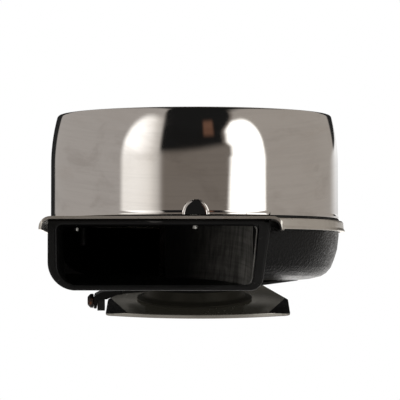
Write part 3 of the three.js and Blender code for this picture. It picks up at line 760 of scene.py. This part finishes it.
def rim_screw_places():
    """Evenly round the rim, but for the front one, which is inside the dimple."""
    places = []
    for i in range(RIM_SCREWS):
        angle = math.radians(30 + 360 / RIM_SCREWS * i)
        places.append((RIM_SCREW_RADIUS * math.cos(angle), RIM_SCREW_RADIUS * math.sin(angle)))
    places[FRONT_SCREW] = (DIMPLE["x"], DIMPLE["y"])
    return places


def outlet_bolt_places():
    """Four places on a circle round the outlet."""
    return [(x, y + OUTLET_Y) for x, y in arc(0, 0, BOLT_CIRCLE, 45, 315, 3)]


def guide_wall():
    """Quarter-round wall that leads the air from the right of the mouth past the outlet."""
    ring = arc(GUIDE_X, GUIDE_Y, GUIDE_RADIUS, 0, 90, 40)
    ring += arc(GUIDE_X, GUIDE_Y, GUIDE_RADIUS + GUIDE_THICKNESS, 90, 0, 40)
    return prism("guide", ring, MOUTH_BOTTOM, BOWL_TOP, HOUSING)


def above(level):
    """All the space above a level of the standing object."""
    return block(-130, 130, -140, 140, level, 120, STANDING)


def outside_of_housing():
    """Bowl and snorkel as one solid, cut flat underneath."""
    return common(join(bowl(0), [snorkel()]), above(KEEL))


def lower_housing():
    """The moulding: bowl and snorkel hollowed out, with the outlet pad, guide wall and bosses added."""
    body = join(outside_of_housing(), [post(PAD_RADIUS, PAD_HEIGHT, 30, STANDING, 0, OUTLET_Y)])
    cut(body, [common(bowl(BOWL_WALL), above(KEEL + BOWL_WALL)), duct()])
    join(body, [common(guide_wall(), outside_of_housing())])
    for i, (x, y) in enumerate(rim_screw_places()):
        depth = CEILING if i in (LEFT_SCREW, FRONT_SCREW) else SCREW_BOSS_DEPTH
        boss = post(SCREW_BOSS_RADIUS, depth, BOWL_TOP, HOUSING, x, y, 32)
        join(body, [common(boss, post(BOWL_RADIUS - 0.5, -60, 0, HOUSING, sides=180))])
    for x, y in outlet_bolt_places():
        join(body, [post(BOLT_BOSS_RADIUS, PAD_HEIGHT, BOLT_BOSS_TOP, STANDING, x, y, 32)])
    return cut(body, [post(OUTLET_BORE + OUTLET_WALL + GAP, -60, 0, HOUSING, sides=64)])


def rounded_lip(piece, reach, width):
    """Rounds the edges of the mouth, which are those in front of a plane of the housing."""
    back = HOUSING.inverted()
    bm = bmesh.new()
    bm.from_mesh(piece.data)
    weight = bm.edges.layers.float.new("bevel_weight_edge")
    for edge in bm.edges:
        ahead = all((back @ v.co).y < reach * MM for v in edge.verts)
        if ahead and edge.calc_face_angle(0) > math.radians(40):
            edge[weight] = 1.0
    bm.to_mesh(piece.data)
    bm.free()
    bevel = piece.modifiers.new("lip", "BEVEL")
    bevel.limit_method = "WEIGHT"
    bevel.width = width * MM
    bevel.segments = 4
    bevel.use_clamp_overlap = False
    return applied(piece)


def smooth_inside(piece, smooth, painted_light_and_dust):
    """Gives the lip, the duct and the inside of the bowl a smooth material.

    The faces that look back at the mouth from its right, on the guide wall and the duct's wall, get one with
    painted light and dust on it.
    """
    piece.data.materials.append(smooth)
    piece.data.materials.append(painted_light_and_dust)
    back = HOUSING.inverted()
    turn = back.to_3x3()
    slack = 0.6
    for face in piece.data.polygons:
        x, y, z = (back @ face.center) / MM
        normal = turn @ face.normal
        outward = (normal.x * x + normal.y * y) / math.hypot(x, y)
        within_sides = DUCT_LEFT - slack < x < DUCT_RIGHT + slack
        in_duct = within_sides and y < MOUTH_BACK - 16 and z > DUCT_BOTTOM - slack
        in_lip = y < MOUTH_FRONT + 7
        outside = normal.z < -0.3 or outward > 0.3
        from_guide = math.hypot(x - GUIDE_X, y - GUIDE_Y) - GUIDE_RADIUS
        on_guide = abs(from_guide) < 0.4 and x > GUIDE_X and y > GUIDE_Y
        on_right_wall = x > 30 and y < -60 and normal.x < -0.6
        if in_duct and (on_guide or on_right_wall):
            face.material_index = 2
        elif in_lip or in_duct or not outside:
            face.material_index = 1


lower = rounded_lip(lower_housing(), -96, 1.5)
dress(lower, "lower_housing", "housing", "black_plastic", moulding, "lower_housing", angle=30)
smooth_inside(lower, smooth_moulding, dust_and_painted_light_moulding)
even_normals(lower)


# ---- mounting plate and what stands on it -----------------------------------------------------------

MOUNT_X, MOUNT_HALF, MOUNT_FRONT, MOUNT_BOW, MOUNT_REAR = 2.2, 56.5, -64.0, 9.0, 51.0
MOUNT_STRAIGHT, MOUNT_TAPER, MOUNT_ROUND, MOUNT_REAR_ROUND = -8.0, 14.5, 5.0, 6.0
CREASE_INSET, CREASE_BACK, CREASE_DROP = 15.0, 4.0, 1.5
CREASE_RUN = MOUNT_FRONT - CREASE_BACK  # along Y, from a crease's outer end to its inner one
CREASE_LENGTH = math.hypot(CREASE_INSET, CREASE_RUN)
BOLT_HOLE = 2.2


def mount_outline():
    """Bowed front edge, sides that are straight as far back as the middle, and a tapered rear."""
    left, right = MOUNT_X - MOUNT_HALF, MOUNT_X + MOUNT_HALF
    foot = MOUNT_FRONT + MOUNT_BOW
    near, far = MOUNT_ROUND, MOUNT_REAR_ROUND
    bowed = []
    for i in range(33):
        t = i / 32
        bowed.append((left + near + t * (right - left - 2 * near), foot - MOUNT_BOW * 4 * t * (1 - t)))
    return [
        *bowed,
        *arc(right - near, foot + near, near, -84, 0, 6),
        (right, MOUNT_STRAIGHT),
        *arc(right - MOUNT_TAPER - far, MOUNT_REAR - far, far, 8, 90, 6),
        *arc(left + MOUNT_TAPER + far, MOUNT_REAR - far, far, 90, 172, 6),
        (left, MOUNT_STRAIGHT),
        *arc(left + near, foot + near, near, 180, 264, 6),
    ]


def corner_wedge(side):
    """What is pressed away above a front corner, deeper outwards from its crease."""
    width = CREASE_INSET * -CREASE_RUN / CREASE_LENGTH
    slope = [
        (0, MOUNT_THICKNESS),
        (2 * width, MOUNT_THICKNESS - 2 * CREASE_DROP),
        (2 * width, MOUNT_THICKNESS + 2),
        (0, MOUNT_THICKNESS + 2),
    ]
    spot = Matrix.Translation((side * MOUNT_HALF * MM + MOUNT_X * MM, CREASE_BACK * MM, 0))
    mirror = Matrix.Diagonal((side, 1, 1, 1))
    slant = Matrix.Rotation(-math.atan2(CREASE_INSET, -CREASE_RUN), 4, "Z")
    return prism("wedge", slope, -80, 80, STANDING @ spot @ mirror @ slant, "Y")


def mounting_plate():
    """The plate with its two corners pressed down, the outlet's bore and the bolt holes."""
    plate = bevelled(prism("mounting_plate", mount_outline(), 0, MOUNT_THICKNESS, STANDING), 0.45)
    cut(plate, [corner_wedge(-1), corner_wedge(1)])
    cut(plate, [post(OUTLET_BORE, -1, 5, STANDING, 0, OUTLET_Y, 64)])
    return cut(plate, [post(BOLT_HOLE, -1, 5, STANDING, x, y, 24) for x, y in outlet_bolt_places()])


def shade_corners(piece, shaded):
    """Gives the two pressed-down corners a darker copy of the plate's material: painted shade that makes them
    darker than their reflections would.
    """
    piece.data.materials.append(shaded)
    for face in piece.data.polygons:
        x, y, _ = face.center / MM
        slightly_tilted = 0.97 < face.normal.z < 0.9995
        if abs(x - MOUNT_X) > MOUNT_HALF / 2 and y < CREASE_BACK + 1 and slightly_tilted:
            face.material_index = 1


def painted_crease_highlights(material):
    """Painted highlights: the plate's edge-on reflection stays bright in a soft band beside each pressed-down
    corner and towards its back, and is dimmed elsewhere.
    """
    nodes = Nodes(material.node_tree)
    x, y, _ = nodes.split(nodes.place())
    aside = nodes.math("ABSOLUTE", nodes.math("SUBTRACT", x, MOUNT_X * MM))
    outward = nodes.times(nodes.math("SUBTRACT", aside, MOUNT_HALF * MM), CREASE_RUN / CREASE_LENGTH)
    rearward = nodes.times(nodes.math("SUBTRACT", y, CREASE_BACK * MM), CREASE_INSET / CREASE_LENGTH)
    inward = nodes.math("ADD", outward, rearward)
    # Breaks the painted highlight bands up unevenly.
    highlight_breakup = nodes.ramp(nodes.noise(nodes.place((160, 40, 160)), 1.0, 3.0, 0.6), 0.35, 0.65, 0.45, 1.0)
    highlight_band = nodes.times(
        nodes.ramp(inward, 0, 2 * MM),
        nodes.ramp(inward, 3 * MM, 10 * MM, 1, 0),
        highlight_breakup,
    )
    # Painted reflection, brighter towards the plate's back.
    back = nodes.ramp(y, -32 * MM, 0)
    tint = nodes.mix(nodes.math("MAXIMUM", highlight_band, back), (0.16, 0.16, 0.155), (1.0, 0.98, 0.94))
    nodes.link(tint, principled(material).inputs["Specular Tint"])


painted_crease_highlights(mirror_plate)
plate = mounting_plate()
dress(plate, "mounting_plate", "housing", "polished_plate", mirror_plate, "mounting_plate", angle=4)
shade_corners(plate, shaded_plate)

NECK_FOOT, NECK_TOP, NECK_RADIUS, NECK_FLANGE = MOUNT_THICKNESS + GAP, 11.3, 31.0, 36.0
STAY_TOP, STAY_BOTTOM, STAY_Y, STAY_HALF, STAY_AXIS = 13.4, 11.6, -40.0, 5.0, 7.0
TAB_INSIDE, TAB_OUTSIDE, STAY_HOLE = -60.0, -61.8, 2.3
BUSH_HALF, BUSH_FOOT, BUSH_END = 3.1, 1.2, -55.2
BOLT_HEAD, BOLT_SHANK, BOLT_END = 4.4, 2.0, -57.2


def outlet_neck():
    """A short tube with a flange that sits on the plate."""
    profile = rounded([
        (OUTLET_BORE, NECK_FOOT, 0),
        (NECK_FLANGE, NECK_FOOT, 0.3),
        (NECK_FLANGE, NECK_FOOT + 1, 0.4),
        (NECK_RADIUS, NECK_FOOT + 1.8, 2.5),
        (NECK_RADIUS, NECK_TOP, 0.3),
        (OUTLET_BORE, NECK_TOP, 0),
    ])
    return lathe("outlet_neck", profile, STANDING @ Matrix.Translation((0, OUTLET_Y * MM, 0)))


dress(outlet_neck(), "outlet_neck", "housing", "black_steel", dark_steel, "outlet_neck")


def stay_bracket():
    """The clamp under the pad, its arm and the thick, rounded tab that the bolt goes through."""
    clamp = post(NECK_RADIUS, STAY_BOTTOM, STAY_TOP, STANDING, 0, OUTLET_Y, 96)
    arm = [(-50, STAY_Y - STAY_HALF), (-18, STAY_Y + 14), (-20, STAY_Y + 40), (-50, STAY_Y + STAY_HALF)]
    tab = rounded([
        (TAB_OUTSIDE, STAY_AXIS - 4, 0.6),
        (TAB_INSIDE, STAY_AXIS - 4, 0.6),
        (TAB_INSIDE, 9.2, 1.5),
        (-54, 8.6, 2.0),
        (-47, STAY_BOTTOM, 2.0),
        (-44, STAY_BOTTOM, 0),
        (-44, STAY_TOP, 0),
        (TAB_INSIDE + 3, STAY_TOP, 3.0),
        (TAB_OUTSIDE, STAY_TOP - 2.6, 1.5),
    ])
    tab = prism("tab", tab, STAY_Y - STAY_HALF, STAY_Y + STAY_HALF, STANDING, "Y")
    piece = join(clamp, [prism("arm", arm, STAY_BOTTOM, STAY_TOP, STANDING), tab])
    holes = [post(OUTLET_BORE + 0.5, 0, 30, STANDING, 0, OUTLET_Y, 64)]
    holes += [post(STAY_HOLE, 0, 30, STANDING, x, y, 24) for x, y in outlet_bolt_places()]
    holes.append(post(STAY_HOLE, TAB_INSIDE - 5, TAB_INSIDE + 3, STANDING, STAY_Y, STAY_AXIS, 32, "X"))
    return cut(piece, holes)


def stay_bush():
    """A rubber block on the tab's inner side, round at its top edges and with a flat foot."""
    section = rounded([
        (STAY_Y - BUSH_HALF, BUSH_FOOT, 1.2),
        (STAY_Y + BUSH_HALF, BUSH_FOOT, 1.2),
        (STAY_Y + BUSH_HALF, STAY_AXIS + BUSH_HALF, 3.0),
        (STAY_Y - BUSH_HALF, STAY_AXIS + BUSH_HALF, 3.0),
    ])
    bush = prism("stay_bush", section, TAB_INSIDE + GAP, BUSH_END, STANDING, "X")
    bore = post(STAY_HOLE, TAB_INSIDE - 1, BOLT_END + GAP, STANDING, STAY_Y, STAY_AXIS, 32, "X")
    return cut(bush, [bore])


def stay_bolt():
    """A domed bolt, lathed along its axis, which runs to the left."""
    seat, end = GAP - TAB_OUTSIDE, -BOLT_END
    profile = rounded([
        (0, seat + 3.7, 0),
        (2.6, seat + 3.7, 1.6),
        (BOLT_HEAD, seat + 1.9, 1.4),
        (BOLT_HEAD, seat, 0.5),
        (BOLT_SHANK, seat, 0.2),
        (BOLT_SHANK, end, 0.4),
        (0, end, 0),
    ])
    leftward = Matrix.Rotation(math.radians(-90), 4, "Y")
    spot = Matrix.Translation((0, STAY_Y * MM, STAY_AXIS * MM))
    return lathe("stay_bolt", profile, STANDING @ spot @ leftward, even_angles(48))


dress(stay_bracket(), "stay_bracket", "housing", "black_steel", black_steel, "stay_bracket")
dress(stay_bush(), "stay_bush", "housing", "black_rubber", black_rubber, "stay_bush")
dress(stay_bolt(), "stay_bolt", "housing", "rusty_steel", old_bolt, "stay_bolt")


# ---- carried-over CAD nodes: better materials and smooth shading --------------------------------------

looks = {"black_rubber": black_rubber, "zinc": zinc, "filter_paper": filter_paper}
slots = {part["node"]: part["material_slot"] for part in frame["record"]["subparts"]}
for node, shown in frame["nodes"].items():
    # The outlet bolts, zinc in the part, are drawn in the black steel: painted shade, so that they stay dark
    # inside the bowl.
    look = black_steel if node.startswith("outlet_bolt") else looks.get(slots.get(node))
    if look and not shown.hide_render:
        smooth_shaded(shown.data)
        for slot in shown.material_slots:
            slot.material = look


# ---- studio ---------------------------------------------------------------------------------------

# The world is painted by direction: azimuth from the front, positive to the right, and height above
# the level, both in degrees. Each mask is made of soft steps between two such angles.

LEFT_WALL, RIGHT_WALL, MIDDLE_WALL = (0.40, 0.375, 0.355), (0.375, 0.345, 0.315), (0.180, 0.157, 0.138)
UNLIT, DARK, GROUND = (0.011, 0.011, 0.011), (0.02, 0.02, 0.02), (0.42, 0.41, 0.40)
WARM_PATCH, PALE, LIT_STRIP = (0.15, 0.078, 0.052), (1.05, 1.05, 1.05), (2.0, 1.96, 1.91)
RIGHT_PANEL = (1.75, 1.73, 1.68)
PANEL_TOP_INNER, PANEL_TOP_OUTER = (0.90, 0.86, 0.81), (1.6, 1.58, 1.55)
PANEL_LOW_INNER, PANEL_LOW_OUTER = (0.84, 0.80, 0.75), (1.02, 0.99, 0.95)


def directions(nodes):
    """The azimuth, the height and the x of the direction looked at."""
    x, y, z = nodes.split(nodes.add("ShaderNodeTexCoord").outputs["Generated"])
    degrees = 180 / math.pi
    azimuth = nodes.times(nodes.math("ARCTAN2", x, nodes.times(y, -1.0)), degrees)
    height = nodes.times(nodes.math("ARCSINE", z), degrees)
    return azimuth, height, x


def soft_box(nodes, outwards, height, inner_side, outer, top, corner, edge):
    """A tall box whose outer upper corner is an elliptic arc. inner_side masks its other side."""
    across, up = corner
    over = nodes.math("DIVIDE", nodes.math("SUBTRACT", outwards, outer - across), across)
    over = nodes.math("MAXIMUM", over, 0.0)
    rise = nodes.math("DIVIDE", nodes.math("SUBTRACT", height, top - up), up)
    rise = nodes.math("MAXIMUM", rise, 0.0)
    squares = nodes.math("ADD", nodes.times(over, over), nodes.times(rise, rise))
    return nodes.times(nodes.ramp(nodes.math("SQRT", squares), 1 - edge, 1 + edge, 1.0, 0.0), inner_side)


def studio_colour(nodes):
    """Grey walls with two round-shouldered soft boxes in front and a dark gap between them."""
    azimuth, height, x = directions(nodes)

    # The right box's inner side bulges out once, then leans outwards towards its top.
    bulge = nodes.times(nodes.within(height, 12, 2.0, 20, 2.0), 3.5)
    lean = nodes.times(nodes.ramp(height, 27.5, 37), 10.0)
    leaning = nodes.math("SUBTRACT", azimuth, nodes.math("ADD", bulge, lean))
    leftwards = nodes.times(azimuth, -1)
    left_box = soft_box(nodes, leftwards, height, nodes.ramp(leftwards, 23, 39), 60.5, 36, (24, 22), 0.11)
    right_box = soft_box(nodes, azimuth, height, nodes.ramp(leaning, 25, 30), 59, 33.5, (18, 17), 0.07)

    middle = nodes.times(
        nodes.ramp(azimuth, -31, -25),
        nodes.ramp(leaning, 24.5, 29.5, 1.0, 0.0),
        nodes.ramp(height, 60, 75, 1.0, 0.0),
    )
    slanting = nodes.math("ADD", height, nodes.times(azimuth, -0.091))
    gap = nodes.times(
        nodes.ramp(azimuth, -30, -26),
        nodes.ramp(leaning, 22, 26, 1.0, 0.0),
        nodes.ramp(slanting, 15.2, 21.0),
    )
    overhead = nodes.times(nodes.within(x, -0.30, 0.08, 0.46, 0.10), nodes.ramp(height, 37, 43))
    patch = nodes.times(nodes.within(azimuth, 8, 1.5, 17, 1.5), nodes.within(height, 26.5, 2, 35.5, 2))

    # Behind the object: what its outermost sides and its level faces reflect.
    left_rear = nodes.ramp(azimuth, -148.5, -151.5)
    dark_left = nodes.times(left_rear, nodes.ramp(height, 18, 13))
    low_left = nodes.times(left_rear, nodes.within(height, -14, 2, 5, 2))
    dark_right = nodes.times(nodes.ramp(azimuth, 148, 152), nodes.within(height, -3.6, 0.5, 15, 3))
    pale_right = nodes.times(nodes.ramp(azimuth, 136, 160), nodes.ramp(height, -2.4, -4.6))
    behind = nodes.ramp(nodes.math("ABSOLUTE", azimuth), 128, 166)
    strip = nodes.times(behind, nodes.within(height, -52, 8, -13, 4))

    # The left box is brighter towards its outer side, and dimmer in its lower part.
    outer_part = nodes.ramp(azimuth, -30, -52)
    left_panel = nodes.mix(
        nodes.ramp(height, 19, 8),
        nodes.mix(outer_part, PANEL_TOP_INNER, PANEL_TOP_OUTER),
        nodes.mix(outer_part, PANEL_LOW_INNER, PANEL_LOW_OUTER),
    )
    colour = nodes.mix(nodes.ramp(azimuth, -60, 60), LEFT_WALL, RIGHT_WALL)
    for mask, paint in (
        (middle, MIDDLE_WALL),
        (dark_left, DARK),
        (pale_right, PALE),
        (dark_right, DARK),
        (left_box, left_panel),
        (right_box, RIGHT_PANEL),
        (nodes.math("MAXIMUM", gap, overhead), UNLIT),
        (patch, WARM_PATCH),
        (nodes.ramp(height, -3, -12), GROUND),
        (low_left, DARK),
        (strip, LIT_STRIP),
    ):
        colour = nodes.mix(mask, colour, paint)
    return colour


def studio_world():
    """The studio for everything that the object reflects, and plain white behind it."""
    world = bpy.data.worlds.new("studio")
    bpy.context.scene.world = world
    world.use_nodes = True
    world.node_tree.nodes.clear()
    nodes = Nodes(world.node_tree)
    lit = nodes.add("ShaderNodeBackground")
    nodes.link(studio_colour(nodes), lit.inputs["Color"])
    seen = nodes.add("ShaderNodeBackground")
    seen.inputs["Color"].default_value = (1.0, 1.0, 1.0, 1.0)
    blend = nodes.add("ShaderNodeMixShader")
    nodes.link(nodes.add("ShaderNodeLightPath").outputs["Is Camera Ray"], blend.inputs[0])
    nodes.link(lit.outputs[0], blend.inputs[1])
    nodes.link(seen.outputs[0], blend.inputs[2])
    output = nodes.add("ShaderNodeOutputWorld")
    nodes.link(blend.outputs[0], output.inputs["Surface"])


def overhead_light():
    """A broad lamp above, which doesn't show in what is polished."""
    lamp = bpy.data.lights.new("overhead", "AREA")
    lamp.shape = "DISK"
    lamp.size = 3.0
    lamp.energy = 75.0
    light = bpy.data.objects.new("overhead", lamp)
    light.location = (0.2, 0.3, 2.4)
    light.visible_glossy = False
    bpy.context.collection.objects.link(light)


def camera():
    """A long lens looking slightly downwards, aimed a little right of the cover's axis."""
    elevation = math.radians(7.8)
    aim = Vector((3.465 * MM, FLANGE.y, 64.2 * MM))
    back = Vector((0, -math.cos(elevation), math.sin(elevation)))
    lens = bpy.data.cameras.new("camera")
    lens.sensor_width = 36.0
    lens.lens = 257.0
    lens.clip_start, lens.clip_end = 0.1, 50.0
    eye = bpy.data.objects.new("camera", lens)
    eye.location = aim + back * 1.7913
    eye.rotation_mode = "QUATERNION"
    eye.rotation_quaternion = (-back).to_track_quat("-Z", "Y")
    bpy.context.collection.objects.link(eye)
    bpy.context.scene.camera = eye


studio_world()
overhead_light()
camera()
bpy.context.scene.view_settings.view_transform = "Standard"
